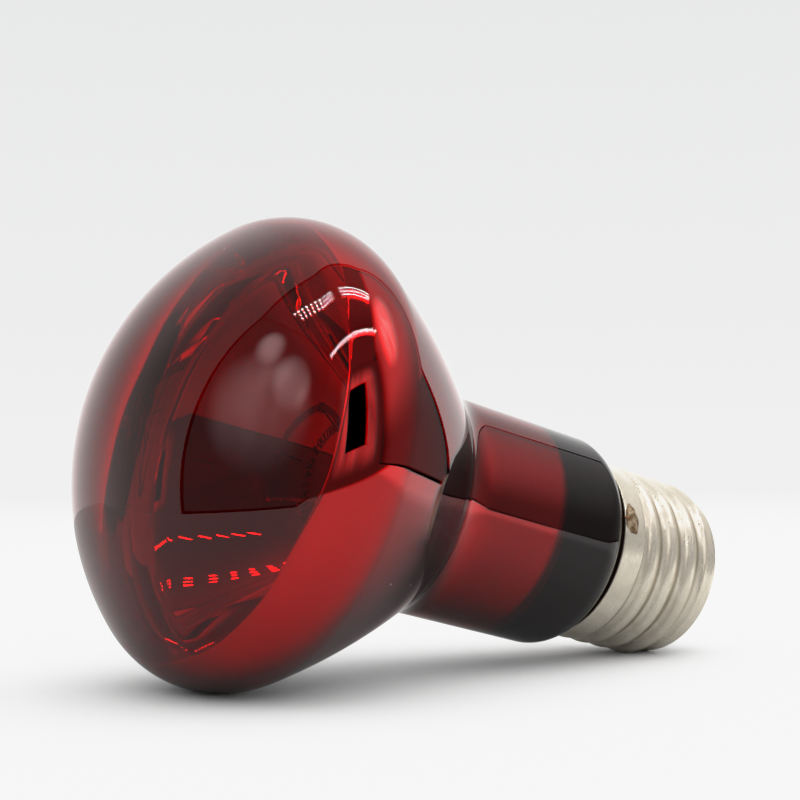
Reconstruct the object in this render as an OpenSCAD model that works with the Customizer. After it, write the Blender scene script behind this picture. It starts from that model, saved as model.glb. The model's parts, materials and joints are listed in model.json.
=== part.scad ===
// Red infrared reflector heat bulb with a large Edison screw cap, lying on a flat surface.
// It rests on its widest ring and on the last crest of its thread, so its axis dips towards the cap.
// Each piece is drawn along its own axis, with z = 0 at the middle of the face, and then laid down.

/* [Glass bulb] */
// Widest diameter of the bulb
bulb_d = 63; // [62:0.5:64]
// Radius of the domed face
face_r = 38; // [37:0.5:40]
// Distance from the face to the widest ring
belly_z = 20.6; // [20:0.1:21.5]
// Slope of the cone where it leaves the rounded belly, in degrees from the axis
cone_angle = 29; // [27:1:31]
// Radius of the slightly bulged cone, seen from the side
cone_r = 105; // [95:5:120]
// Radius of the hollow curve between cone and neck
fillet_r = 8; // [6:0.5:9]
// Diameter of the neck next to the cone
neck_d = 31; // [30:0.2:32]
// Narrowing of the neck towards the cap, in degrees
neck_taper = 0.4; // [0.2:0.1:0.8]
// Distance from the face to the start of the rounded shoulder
shoulder_z = 70.6; // [69:0.2:71]
// Radius of the shoulder
shoulder_r = 4.5; // [4.2:0.1:4.8]
// Distance from the face to the end of the neck
neck_end_z = 83; // [82:0.5:84]
// Thickness of the glass
glass_wall = 0.8; // [0.6:0.1:1]

/* [Mirror] */
// Thickness of the coating, drawn far thicker than the real film
film = 0.1; // [0.05:0.01:0.15]
// Distance from the face to the coating's front edge
film_front_z = 15.5; // [14:0.5:18]
// Distance from the face to the coating's rear edge
film_rear_z = 63; // [60:0.5:68]

/* [Screw cap] */
// Distance from the face to the cap's rim
rim_z = 75.4; // [75.2:0.1:75.8]
// Outer diameter of the plain skirt
skirt_d = 26.1; // [26:0.05:26.2]
// Length of the plain skirt
skirt_len = 3.6; // [3.2:0.1:4]
// Diameter over the thread's crests
crest_d = 26.2; // [26.05:0.05:26.45]
// Diameter at the thread's roots
root_d = 24.1; // [23.96:0.02:24.26]
// Threads in one inch
threads_per_inch = 7; // [7:1:7]
// Thickness of the sheet metal
cap_wall = 0.3; // [0.25:0.05:0.35]
// Length of the metal shell
shell_len = 19.5; // [19.2:0.1:20]
// Length from the rim to the tip of the contact
cap_len = 25; // [24.6:0.1:25.6]

/* [Stem and filament] */
// Outer radius of the stem's glass tube
stem_r = 5.5; // [5:0.1:6]
// Distance from the face to the top of the press
press_z = 54; // [52:0.5:56]
// Length of the press
press_len = 9; // [8:0.5:10]
// Half of the distance between the lead wires in the press
lead_y = 3.5; // [3:0.1:4]
// Distance from the face to the filament
filament_z = 30; // [28:0.5:32]
// Radius of the filament's arc
filament_r = 8.5; // [8:0.1:9]
// Radius of the wound filament
coil_r = 0.45; // [0.35:0.05:0.5]
// Half of the filament's open gap, in degrees
gap_half = 60; // [50:5:70]

/* [Hidden] */
$fn = 96;

// Outline of the bulb. Centres are [distance from the axis, distance from the face].
// Angles are those of the outward normal, 0 towards the face and 90 straight out from the axis.
bulb_r = bulb_d / 2;
neck_r = neck_d / 2;
belly_r = (pow(face_r, 2) - pow(bulb_r, 2) - pow(face_r - belly_z, 2)) / (2 * (face_r - bulb_r));
face_c = [0, face_r];
belly_c = [bulb_r - belly_r, belly_z];
face_end = atan2(belly_c[0], face_r - belly_z);
cone_start = 90 + cone_angle;
cone_c = belly_c - (cone_r - belly_r) * normal(cone_start);
fillet_end = 90 + neck_taper;
fillet_c_r = neck_r + fillet_r * cos(neck_taper);
cone_end = 180 - asin((fillet_c_r - cone_c[0]) / (cone_r + fillet_r));
fillet_c = cone_c + (cone_r + fillet_r) * normal(cone_end);
neck_start = fillet_c - fillet_r * normal(fillet_end);
shoulder_c = [neck_r_at(shoulder_z), shoulder_z] - shoulder_r * normal(fillet_end);
shoulder_end = 150;
seat_r = 11.3;
seat_fillet = (shoulder_c[0] + shoulder_r * sin(shoulder_end) - seat_r) / (1 - sin(shoulder_end));
seat_c = shoulder_c + (shoulder_r + seat_fillet) * normal(shoulder_end);

// Edges of the mirror coating
film_out = glass_wall;
film_in = glass_wall + film;
film_start = acos((belly_z - film_front_z) / (belly_r - film_out));

// Round Edison thread: crest and root are arcs of one radius that meet halfway
skirt_r = skirt_d / 2;
crest_r = crest_d / 2;
root_r = root_d / 2;
pitch = 25.4 / threads_per_inch;
depth = crest_r - root_r;
thread_arc = (pow(pitch / 2, 2) + pow(depth, 2)) / (4 * depth);
// Distance from the rim to the crest that touches the surface
last_crest = 14.3;
run_in = 0.8;
run_out_z = shell_len - 3.9;
thread_end = shell_len - 2.3;
// The thread's mesh starts and ends inside the sheet of the plain rings beside it
embed = 0.3;
embed_r = 0.05;
ring_step = 0.4;
sides = 48;

// Screw cap's closed end, measured from the rim
collar_r = 12.1;
curl_r = 1.4;
curl_c = [collar_r - curl_r, shell_len - curl_r];
inside_r = root_r - cap_wall;
insulator_z = shell_len - 2.6;
insulator_gap = 0.05;
eyelet_z = cap_len - 1.5;
eyelet_t = 0.5;
eyelet_r = 4.8;
eyelet_hole = 2.2;
eyelet_tube = 2.6;
button_z = eyelet_z + eyelet_t;
button_flat = 1.6;
button_edge = cap_len - button_z;
// Black end: its edge at the curl, then the start and the end of its slope
insulator_end = [[10.65, shell_len], [10.2, shell_len + 0.5], [6.2, eyelet_z - 0.3], [5.7, eyelet_z]];
solder_len = 1;
cement_z = 0.25;
cement_len = 3.2;

// Stem, measured from the face
seal_r = seat_r - glass_wall;
tube_wall = 0.9;
flare_edge = 1;
bell_r = seal_r - stem_r;
bell_c = [seal_r, neck_end_z - flare_edge - bell_r];
exhaust_r = 2;
exhaust_bore = 1.3;
exhaust_end = 89;
rod_r = 1;
button_r = 1.9;
rod_end = 43;
wire_r = 0.35;
hook_r = 0.15;
hook_angles = [gap_half + 45, 180, 315 - gap_half];
// Distance of a hook's root from the button's middle
hook_root = 0.75;
press_half = 5.2;
press_t = 3.2;
press_foot = 1.2;
press_end = press_z + press_len;
vent_z = press_z + 0.55 * press_len;
vent_r = 0.8;
lead_bend_z = press_z - 4;

// Wires from the stem to the cap's two contacts
fuse_r = 0.9;
fuse_z = [66, 76];
outlet_z = 86;
side_angle = 250;
side_wire = 0.15;
side_track = 11.52;
side_rim_r = 12.45;
side_bend_z = rim_z + 1.8;
side_end_z = rim_z + 1.2;
knuckle = 1.2;
// How far a cut runs past the face that it opens
past = 1;

// Resting place: the belly's round and the last crest's round touch the surface together
crest_c = [crest_r - thread_arc, rim_z + last_crest];
support = crest_c - belly_c;
tilt = atan2(-support[0], support[1])
    + asin((belly_r - thread_arc) / norm(support));
lift = belly_z * sin(tilt) + belly_c[0] * cos(tilt) + belly_r;
front_x = face_r * (cos(tilt) - 1);
rear_x = (rim_z + button_z) * cos(tilt) + button_flat * sin(tilt) + button_edge;
middle_x = (front_x + rear_x) / 2;

function normal(a) = [sin(a), -cos(a)];
function arc(c, r, a0, a1, n) = [for (i = [0:n - 1]) c + r * normal(a0 + (a1 - a0) * i / n)];
function full_arc(c, r, a0, a1, n) = concat(arc(c, r, a0, a1, n), [c + r * normal(a1)]);
function backwards(list) = [for (i = [len(list) - 1:-1:0]) list[i]];
function neck_r_at(z) = neck_r - (z - neck_start[1]) * tan(neck_taper);
function clamp(v) = min(1, max(0, v));

// The reflector from a point on the belly to the end of the hollow curve, off mm inside the glass
function cone_side(off, start) = concat(
    arc(belly_c, belly_r - off, start, cone_start, 20),
    arc(cone_c, cone_r - off, cone_start, cone_end, 8),
    arc(fillet_c, -fillet_r - off, cone_end, fillet_end, 10)
);
function bulb_side(off) = concat(
    arc(face_c, face_r - off, 0, face_end, 16),
    cone_side(off, face_end),
    arc(shoulder_c, shoulder_r - off, fillet_end, shoulder_end, 10),
    arc(seat_c, -seat_fillet - off, shoulder_end, 90, 8),
    [[seat_r - off, seat_c[1]], [seat_r - off, neck_end_z]]
);
function film_side(off) = concat(
    cone_side(off, film_start),
    [neck_start - [off, 0], [neck_r_at(film_rear_z) - off, film_rear_z]]
);

// Radius of the rolled thread at height z above the rim and at angle a around the axis
function thread_r(z, a) =
    let (turns = (z - last_crest) / pitch - a / 360)
    let (d = abs(turns - round(turns)) * pitch)
    d < pitch / 4
        ? crest_r - thread_arc + sqrt(pow(thread_arc, 2) - pow(d, 2))
        : root_r + thread_arc - sqrt(pow(thread_arc, 2) - pow(pitch / 2 - d, 2));
// Share of the thread's form that is present: it grows out of the skirt
function grown(z) = clamp((z - skirt_len) / run_in);
// Share of the way from the thread's run-out to its end
function ended(z) = clamp((z - run_out_z) / (thread_end - run_out_z));
// Greatest radius near the closed end, where the shell draws in to its collar
function limit_r(z) = crest_r - (crest_r - collar_r + embed_r) * (1 - cos(180 * ended(z))) / 2;
function shell_out(z, a) =
    let (start_r = skirt_r - embed_r)
    min(start_r + grown(z) * (thread_r(z, a) - start_r), limit_r(z));
function shell_in(z, a) =
    shell_out(z, a) - cap_wall + 2 * embed_r * (1 - grown(z) + ended(z));

// Straight round wire from p to q
module rod(p, q, r) {
    v = q - p;
    translate(p)
        rotate([0, acos(v[2] / norm(v)), atan2(v[1], v[0])])
            cylinder(h = norm(v), r = r);
}

// Round wire through a list of points, with a slightly swollen knuckle at each bend
module wire(points, r) {
    for (i = [0:len(points) - 2])
        rod(points[i], points[i + 1], r);
    for (i = [1:len(points) - 2])
        translate(points[i])
            sphere(r = knuckle * r);
}

// Point on the filament's arc at angle a
function on_arc(a) = [filament_r * cos(a), filament_r * sin(a), filament_z];

// Lays the upright bulb down on the surface
module lay_down() {
    translate([-middle_x, 0, lift])
        rotate([0, 90 + tilt, 0])
            children();
}

module glass_envelope() {
    color([0.45, 0.02, 0.04, 0.55])
        lay_down()
            rotate_extrude($fn = 128)
                polygon(concat(bulb_side(0), backwards(bulb_side(glass_wall))));
}

module mirror_coating() {
    color("silver")
        lay_down()
            rotate_extrude($fn = 128)
                polygon(concat(film_side(film_out), backwards(film_side(film_in))));
}

// Glass skirt that is fused into the neck's end, with the tube that carries the press
module stem_flare() {
    color([0.85, 0.9, 0.9, 0.6])
        lay_down()
            rotate_extrude()
                polygon(concat(
                    [[stem_r - tube_wall, press_end], [stem_r, press_end]],
                    full_arc(bell_c, bell_r, 270, 180, 10),
                    [[seal_r, neck_end_z]],
                    full_arc(bell_c, bell_r + tube_wall, 180, 270, 10)
                ));
}

// Flat pinch of glass around the seal wires, with the passage that the bulb was pumped through
module stem_press() {
    color([0.85, 0.9, 0.9, 0.6])
        lay_down()
            difference() {
                translate([0, 0, press_z]) {
                    linear_extrude(press_len) {
                        square([press_t, 2 * press_half - press_t], center = true);
                        for (side = [-1, 1])
                            translate([0, side * (press_half - press_t / 2)])
                                circle(d = press_t);
                    }
                    translate([0, 0, press_len - press_foot])
                        cylinder(h = press_foot, r = stem_r);
                }
                for (side = [-1, 1])
                    translate([0, side * lead_y, press_z - past])
                        cylinder(h = press_len + 2 * past, r = wire_r);
                translate([0, 0, vent_z])
                    cylinder(h = press_len, r = exhaust_bore);
                translate([-press_t, 0, vent_z])
                    rotate([0, 90, 0])
                        cylinder(h = 2 * press_t, r = vent_r);
                translate([0, 0, press_z - past])
                    cylinder(h = 2 * past, r = rod_r);
            }
}

// Tube that the bulb was pumped through, tipped off round inside the cap
module exhaust_tube() {
    color([0.85, 0.9, 0.9, 0.6])
        lay_down()
            difference() {
                union() {
                    translate([0, 0, press_end])
                        cylinder(h = exhaust_end - press_end, r = exhaust_r);
                    translate([0, 0, exhaust_end])
                        sphere(r = exhaust_r);
                }
                translate([0, 0, press_end - past])
                    cylinder(h = exhaust_end - press_end + past, r = exhaust_bore);
                translate([0, 0, exhaust_end])
                    sphere(r = exhaust_bore);
            }
}

// Glass rod on the press, with the button that holds the filament's hooks
module support_rod() {
    color([0.85, 0.9, 0.9, 0.6])
        lay_down()
            difference() {
                union() {
                    translate([0, 0, rod_end])
                        cylinder(h = press_z + past - rod_end, r = rod_r);
                    translate([0, 0, rod_end])
                        sphere(r = button_r);
                }
                for (a = hook_angles)
                    hook_shank(a);
            }
}

// Straight part of a hook, from inside the button to the filament
module hook_shank(a) {
    centre = [0, 0, rod_end];
    aim = on_arc(a) - centre;
    way = aim / norm(aim);
    rod(centre + way * hook_root, on_arc(a) - way * (coil_r + hook_r), hook_r);
}

// Molybdenum wire from the button, ending in a ring around the filament
module filament_hook(a) {
    color("gray")
        lay_down() {
            hook_shank(a);
            translate(on_arc(a))
                rotate([90, 0, a])
                    rotate_extrude()
                        translate([coil_r + hook_r, 0])
                            circle(r = hook_r, $fn = 24);
        }
}

// Outer shape of the coiled wire, an open arc around the bulb's axis
module filament() {
    color("dimgray")
        lay_down()
            translate([0, 0, filament_z])
                rotate([0, 0, gap_half])
                    rotate_extrude(angle = 360 - 2 * gap_half)
                        translate([filament_r, 0])
                            circle(r = coil_r, $fn = 32);
}

// Lead wire inside the bulb, from the press to one end of the filament
module inner_lead(side) {
    color("lightgray")
        lay_down()
            difference() {
                wire([
                    [0, side * lead_y, press_z],
                    [0, side * lead_y, lead_bend_z],
                    on_arc(side * gap_half)
                ], wire_r);
                translate([0, 0, filament_z])
                    rotate_extrude()
                        translate([filament_r, 0])
                            circle(r = coil_r, $fn = 32);
            }
}

// Copper-clad wire that the press is sealed around
module seal_wire(side) {
    color("firebrick")
        lay_down()
            translate([0, side * lead_y, press_z])
                cylinder(h = press_len, r = wire_r);
}

// Outer lead from the press to the solder in the contact, through the fuse sleeve
module centre_lead() {
    color("peru")
        lay_down()
            wire([
                [0, lead_y, press_end],
                [0, lead_y, exhaust_end],
                [0, 0, rim_z + insulator_z],
                [0, 0, rim_z + eyelet_z - solder_len]
            ], side_wire);
}

module centre_lead_fuse() {
    color([0.85, 0.9, 0.9, 0.6])
        lay_down()
            translate([0, lead_y, fuse_z[0]])
                difference() {
                    cylinder(h = fuse_z[1] - fuse_z[0], r = fuse_r);
                    translate([0, 0, -past])
                        cylinder(h = fuse_z[1] - fuse_z[0] + 2 * past, r = side_wire);
                }
}

// Outer lead from the press, around the neck's end, back to the rim and over it
module side_lead_wire() {
    outward = [cos(side_angle), sin(side_angle), 0];
    up = [0, 0, 1];
    over_r = skirt_r + knuckle * side_wire;
    over_z = rim_z - knuckle * side_wire;
    wire([
        [0, -lead_y, press_end],
        [0, -lead_y, outlet_z],
        side_track * outward + outlet_z * up,
        side_track * outward + side_bend_z * up,
        side_rim_r * outward + over_z * up,
        over_r * outward + over_z * up,
        over_r * outward + side_end_z * up
    ], side_wire);
}

module side_lead() {
    color("peru")
        lay_down()
            side_lead_wire();
}

// Flat drop of solder that fixes the side lead to the skirt
module side_solder() {
    drop_r = 5.2;
    drop_z = 0.9;
    drop_start = 0.05;
    drop_len = 2.3;
    proud = 0.45;
    color("darkgoldenrod")
        lay_down()
            difference() {
                translate([0, 0, rim_z])
                    rotate([0, 0, side_angle])
                        difference() {
                            intersection() {
                                translate([skirt_r + proud - drop_r, 0, drop_z])
                                    sphere(r = drop_r);
                                translate([0, 0, drop_start])
                                    cylinder(h = drop_len, r = skirt_r + past);
                            }
                            translate([0, 0, -past])
                                cylinder(h = drop_len + 2 * past, r = skirt_r);
                        }
                side_lead_wire();
            }
}

// Cement between the neck's end and the inside of the skirt
module capping_cement() {
    near = rim_z - past;
    far = rim_z + cement_z + cement_len + past;
    color([0.25, 0.05, 0.05])
        lay_down()
            difference() {
                translate([0, 0, rim_z + cement_z])
                    cylinder(h = cement_len, r = skirt_r - cap_wall);
                rotate_extrude()
                    polygon(concat(
                        [[0, near]],
                        [for (p = arc(seat_c, -seat_fillet, shoulder_end, 90, 8)) if (p[1] > near) p],
                        [[seat_r, seat_c[1]], [seat_r, far], [0, far]]
                    ));
                side_lead_wire();
            }
}

// Sheet-metal shell of the cap: plain skirt, rolled thread and the curled edge of the closed end
module cap_shell() {
    color([0.78, 0.76, 0.7])
        lay_down()
            translate([0, 0, rim_z]) {
                difference() {
                    cylinder(h = skirt_len, r = skirt_r);
                    translate([0, 0, -past])
                        cylinder(h = skirt_len + 2 * past, r = skirt_r - cap_wall);
                }
                rolled_thread();
                rotate_extrude()
                    polygon(concat(
                        [[collar_r - cap_wall, thread_end], [collar_r, thread_end]],
                        full_arc(curl_c, curl_r, 90, 180, 8),
                        full_arc(curl_c, curl_r - cap_wall, 180, 90, 8)
                    ));
            }
}

module rolled_thread() {
    length = thread_end - skirt_len + 2 * embed;
    rings = ceil(length / ring_step);
    step = length / rings;
    function ring(i) = skirt_len - embed + i * step;
    function point(r, a, z) = [r * cos(a), r * sin(a), z];
    angles = [for (j = [0:sides - 1]) 360 * j / sides];
    outer = [for (i = [0:rings], a = angles) point(shell_out(ring(i), a), a, ring(i))];
    inner = [for (i = [0:rings], a = angles) point(shell_in(ring(i), a), a, ring(i))];
    inside = len(outer);
    function at(i, j) = i * sides + j % sides;
    walls = [for (i = [0:rings - 1], j = [0:sides - 1]) each [
        [at(i, j), at(i + 1, j), at(i + 1, j + 1)],
        [at(i, j), at(i + 1, j + 1), at(i, j + 1)],
        [inside + at(i, j), inside + at(i + 1, j + 1), inside + at(i + 1, j)],
        [inside + at(i, j), inside + at(i, j + 1), inside + at(i + 1, j + 1)]
    ]];
    ends = [for (j = [0:sides - 1]) each [
        [at(0, j), at(0, j + 1), inside + at(0, j + 1), inside + at(0, j)],
        [at(rings, j + 1), at(rings, j), inside + at(rings, j), inside + at(rings, j + 1)]
    ]];
    polyhedron(points = concat(outer, inner), faces = concat(walls, ends), convexity = 10);
}

// Black glass that closes the shell and keeps the two contacts apart
module cap_insulator() {
    wide_r = inside_r - insulator_gap;
    inner_curl = full_arc(curl_c, curl_r - cap_wall - insulator_gap, 90, 180, 8);
    color([0.08, 0.07, 0.08])
        lay_down()
            translate([0, 0, rim_z])
                rotate_extrude()
                    polygon(concat(
                        [[eyelet_tube, insulator_z], [wide_r, insulator_z], [wide_r, curl_c[1]]],
                        [for (p = inner_curl) if (p[0] < wide_r) p],
                        insulator_end,
                        [[eyelet_tube, eyelet_z]]
                    ));
}

// Brass plate with the short tube that holds it in the insulator
module contact_eyelet() {
    tube_z = insulator_z - 0.6;
    color("gold")
        lay_down()
            translate([0, 0, rim_z])
                difference() {
                    union() {
                        translate([0, 0, tube_z])
                            cylinder(h = eyelet_z + eyelet_t - tube_z, r = eyelet_tube);
                        translate([0, 0, eyelet_z])
                            cylinder(h = eyelet_t, r = eyelet_r);
                    }
                    translate([0, 0, tube_z - past])
                        cylinder(h = cap_len, r = eyelet_hole);
                }
}

// Solder that fills the eyelet and ends in a low button with a flat top
module centre_solder() {
    solder_z = eyelet_z - solder_len;
    color("silver")
        lay_down()
            translate([0, 0, rim_z])
                rotate_extrude()
                    polygon(concat(
                        [[0, solder_z], [eyelet_hole, solder_z], [eyelet_hole, button_z]],
                        full_arc([button_flat, button_z], button_edge, 90, 180, 8),
                        [[0, cap_len]]
                    ));
}

glass_envelope();
mirror_coating();
stem_flare();
stem_press();
exhaust_tube();
support_rod();
filament_hook(hook_angles[0]);  // filament_hook_left
filament_hook(hook_angles[1]);  // filament_hook_middle
filament_hook(hook_angles[2]);  // filament_hook_right
filament();
inner_lead(-1);  // inner_lead_left
inner_lead(1);  // inner_lead_right
seal_wire(-1);  // seal_wire_left
seal_wire(1);  // seal_wire_right
centre_lead();
centre_lead_fuse();
side_lead();
side_solder();
capping_cement();
cap_shell();
cap_insulator();
contact_eyelet();
centre_solder();
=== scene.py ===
import json
import math

import bmesh
import bpy
import numpy as np
from mathutils import Matrix, Quaternion, Vector, noise


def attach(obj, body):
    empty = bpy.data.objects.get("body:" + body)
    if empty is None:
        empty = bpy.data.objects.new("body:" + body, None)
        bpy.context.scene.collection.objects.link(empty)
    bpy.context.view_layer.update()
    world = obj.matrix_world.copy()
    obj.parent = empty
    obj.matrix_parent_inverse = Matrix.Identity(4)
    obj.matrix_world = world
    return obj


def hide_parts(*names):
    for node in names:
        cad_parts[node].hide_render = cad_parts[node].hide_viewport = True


# A red infrared reflector heat bulb lying on a pale floor, in a small photo tent.
# Shapes are worked out in millimetres in the lamp's own frame: z runs along the axis from the middle
# of the face to the contact, x points down at rest. lamp_place turns that frame into the CAD frame.

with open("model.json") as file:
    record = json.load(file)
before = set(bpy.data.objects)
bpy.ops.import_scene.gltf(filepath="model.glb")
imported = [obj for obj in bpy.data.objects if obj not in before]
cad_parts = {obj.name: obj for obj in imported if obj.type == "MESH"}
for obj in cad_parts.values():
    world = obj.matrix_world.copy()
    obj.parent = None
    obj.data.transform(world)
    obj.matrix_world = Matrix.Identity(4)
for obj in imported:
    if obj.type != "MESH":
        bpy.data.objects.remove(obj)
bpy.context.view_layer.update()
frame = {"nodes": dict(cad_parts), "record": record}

MM = 0.001


# ---------------------------------------------------------------- lamp frame and outline

RIM_Z = 75.4
CAP_LEN = 25


def lamp_place():
    """The lamp's own frame in the CAD frame, from the contact's mount: its tip and its axis."""
    contact = next(m for m in frame["record"]["mounts"] if m["name"] == "centre_contact")
    along = Vector(contact["axis"]).normalized()
    side = Vector((0, 1, 0))
    down = side.cross(along)
    apex = Vector(contact["pos_m"]) - along * (RIM_Z + CAP_LEN) * MM
    place = Matrix((down, side, along)).transposed().to_4x4()
    place.translation = apex
    return place


LAMP = lamp_place()
TO_LAMP = LAMP.inverted()

# Glass bulb: radii of the arcs of its outline, and distances from the face
BULB_R = 31.5
FACE_R = 38
BELLY_Z = 20.6
CONE_ANGLE = 29
CONE_R = 105
FILLET_R = 8
NECK_R = 15.5
NECK_TAPER = 0.4
SHOULDER_Z = 70.6
SHOULDER_R = 4.5
SHOULDER_END = 150
SEAT_R = 11.3
NECK_END_Z = 83
GLASS = 0.8

# Mirror: its mean front edge, its rear edge, where it thins out, its space from the glass, its thickness
FILM_FRONT_Z = 15.4
FILM_REAR_Z = 63
FILM_THINS_Z, FILM_GONE_Z, FILM_SLANT = 61.2, 62.7, 0.06
FILM_GAP = 0.02
FILM = 0.03


def normal(angle):
    """Unit normal as (away from the axis, along the axis): 0 looks out of the face, 90 sideways."""
    a = math.radians(angle)
    return np.array([math.sin(a), -math.cos(a)])


def arc(centre, radius, start, end, count):
    """Points of an arc, without its end."""
    return [centre + radius * normal(start + (end - start) * i / count) for i in range(count)]


def outline_centres():
    """Centres and angles of the outline's arcs, from the same rules as the CAD model."""
    belly_r = (FACE_R ** 2 - BULB_R ** 2 - (FACE_R - BELLY_Z) ** 2) / (2 * (FACE_R - BULB_R))
    belly = np.array([BULB_R - belly_r, BELLY_Z])
    face_end = math.degrees(math.atan2(belly[0], FACE_R - BELLY_Z))
    cone_start = 90 + CONE_ANGLE
    cone = belly - (CONE_R - belly_r) * normal(cone_start)
    fillet_end = 90 + NECK_TAPER
    fillet_reach = NECK_R + FILLET_R * math.cos(math.radians(NECK_TAPER))
    cone_end = 180 - math.degrees(math.asin((fillet_reach - cone[0]) / (CONE_R + FILLET_R)))
    fillet = cone + (CONE_R + FILLET_R) * normal(cone_end)
    neck_start = fillet - FILLET_R * normal(fillet_end)
    shoulder_at = NECK_R - (SHOULDER_Z - neck_start[1]) * math.tan(math.radians(NECK_TAPER))
    shoulder = np.array([shoulder_at, SHOULDER_Z]) - SHOULDER_R * normal(fillet_end)
    end_sin = math.sin(math.radians(SHOULDER_END))
    seat_fillet = (shoulder[0] + SHOULDER_R * end_sin - SEAT_R) / (1 - end_sin)
    seat = shoulder + (SHOULDER_R + seat_fillet) * normal(SHOULDER_END)
    return dict(belly_r=belly_r, belly=belly, face_end=face_end, cone_start=cone_start, cone=cone,
                fillet_end=fillet_end, cone_end=cone_end, fillet=fillet, shoulder=shoulder,
                seat_fillet=seat_fillet, seat=seat)


SHAPE = outline_centres()


def bulb_side(off):
    """Outline from the middle of the face to the neck's end, off mm inside the glass surface."""
    c = SHAPE
    points = arc(np.array([0, FACE_R]), FACE_R - off, 0, c["face_end"], 60)
    points += arc(c["belly"], c["belly_r"] - off, c["face_end"], c["cone_start"], 48)
    points += arc(c["cone"], CONE_R - off, c["cone_start"], c["cone_end"], 24)
    points += arc(c["fillet"], -FILLET_R - off, c["cone_end"], c["fillet_end"], 24)
    neck_start = c["fillet"] - (FILLET_R + off) * normal(c["fillet_end"])
    neck_end = c["shoulder"] + (SHOULDER_R - off) * normal(c["fillet_end"])
    points += [neck_start + (neck_end - neck_start) * i / 14 for i in range(14)]
    points += arc(c["shoulder"], SHOULDER_R - off, c["fillet_end"], SHOULDER_END, 18)
    points += arc(c["seat"], -c["seat_fillet"] - off, SHOULDER_END, 90, 12)
    points += [np.array([SEAT_R - off, c["seat"][1]]), np.array([SEAT_R - off, NECK_END_Z])]
    return np.array(points)


# ---------------------------------------------------------------- mesh building

def on_ring(radius, z, angle):
    """Point or points at a radius, height and angle in radians around the axis."""
    radius, z, angle = np.broadcast_arrays(radius, z, angle)
    return np.stack([radius * np.cos(angle), radius * np.sin(angle), z], axis=-1)


def eased(share):
    """share, from 0 to 1, with a level start and end."""
    return share * share * (3 - 2 * share)


def around(sides):
    """Angles of a full turn, in radians."""
    return np.arange(sides) * 2 * math.pi / sides


def add_object(name, data):
    """A new object in the scene."""
    made = bpy.data.objects.new(name, data)
    bpy.context.scene.collection.objects.link(made)
    return made


def add_piece(name, vertices, faces, place=LAMP, sharp=None):
    """A smooth-shaded mesh object from vertices in millimetres, laid at place, its normals outwards."""
    mesh = bpy.data.meshes.new(name)
    mesh.from_pydata((np.asarray(vertices, float) * MM).tolist(), [], faces)
    mesh.transform(place)
    tidy = bmesh.new()
    tidy.from_mesh(mesh)
    bmesh.ops.remove_doubles(tidy, verts=tidy.verts, dist=1e-7)
    bmesh.ops.recalc_face_normals(tidy, faces=tidy.faces)
    tidy.to_mesh(mesh)
    tidy.free()
    mesh.shade_smooth()
    if sharp:
        mesh.set_sharp_from_angle(angle=math.radians(sharp))
    return add_object(name, mesh)


def grid_faces(rows, sides, closed):
    """Quads between rings of points, the last ring joined to the first if closed."""
    faces = []
    for i in range(rows if closed else rows - 1):
        here, there = i * sides, (i + 1) % rows * sides
        for j in range(sides):
            k = (j + 1) % sides
            faces.append((here + j, here + k, there + k, there + j))
    return faces


def skin(name, rings, closed=True, **more):
    """A closed surface through rings of points, rings[row][side] = (x, y, z). Rings may shrink to a point."""
    rings = np.asarray(rings, float)
    rows, sides = rings.shape[:2]
    return add_piece(name, rings.reshape(-1, 3), grid_faces(rows, sides, closed), **more)


def lathe(name, outline, sides, closed=False, **more):
    """A surface of revolution: outline is a list of (radius, z)."""
    angles = around(sides)
    return skin(name, [on_ring(r, z, angles) for r, z in outline], closed, **more)


def corner(r, z, radius, angles):
    """Points of a round corner of an outline; angles in degrees, 0 away from the axis."""
    turns = [math.radians(a) for a in angles]
    return [(r + radius * math.cos(t), z + radius * math.sin(t)) for t in turns]


def rounded_path(points, bend, steps=8):
    """A path through straight stretches, with each corner eased by a curve that starts bend mm before it."""
    points = [np.array(p, float) for p in points]
    path = [points[0]]
    for before, corner, after in zip(points, points[1:], points[2:]):
        back, ahead = before - corner, after - corner
        reach = min(bend, np.linalg.norm(back) * 0.48, np.linalg.norm(ahead) * 0.48)
        start = corner + back / np.linalg.norm(back) * reach
        end = corner + ahead / np.linalg.norm(ahead) * reach
        for i in range(steps + 1):
            t = i / steps
            path.append((1 - t) ** 2 * start + 2 * t * (1 - t) * corner + t ** 2 * end)
    path.append(points[-1])
    return np.array(path)


def sweep(name, path, radius, sides=12, loop=False, **more):
    """A round wire along a path. radius is one number, or one for each point."""
    path = np.asarray(path, float)
    if loop:
        ways = np.roll(path, -1, axis=0) - np.roll(path, 1, axis=0)
    else:
        ways = np.gradient(path, axis=0)
    ways /= np.linalg.norm(ways, axis=1)[:, None]
    across = np.cross(ways[0], [0.3, 0.5, 0.81])
    angles = around(sides)
    rings = []
    for point, way, r in zip(path, ways, np.broadcast_to(radius, len(path))):
        across = across - way * (across @ way)
        across /= np.linalg.norm(across)
        other = np.cross(way, across)
        rings.append(point + r * (np.outer(np.cos(angles), across) + np.outer(np.sin(angles), other)))
    if not loop:
        rings = [np.repeat(path[:1], sides, axis=0)] + rings + [np.repeat(path[-1:], sides, axis=0)]
    return skin(name, rings, closed=loop, **more)


def store(piece, name, values):
    """Keeps one number for each vertex on the mesh, for its material to read."""
    attribute = piece.data.attributes.new(name, "FLOAT", "POINT")
    attribute.data.foreach_set("value", np.asarray(values, np.float32))


def in_lamp_frame(piece):
    """The piece's vertices in millimetres, in the lamp's own frame."""
    return np.array([TO_LAMP @ vertex.co for vertex in piece.data.vertices]) / MM


# ---------------------------------------------------------------- materials

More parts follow.
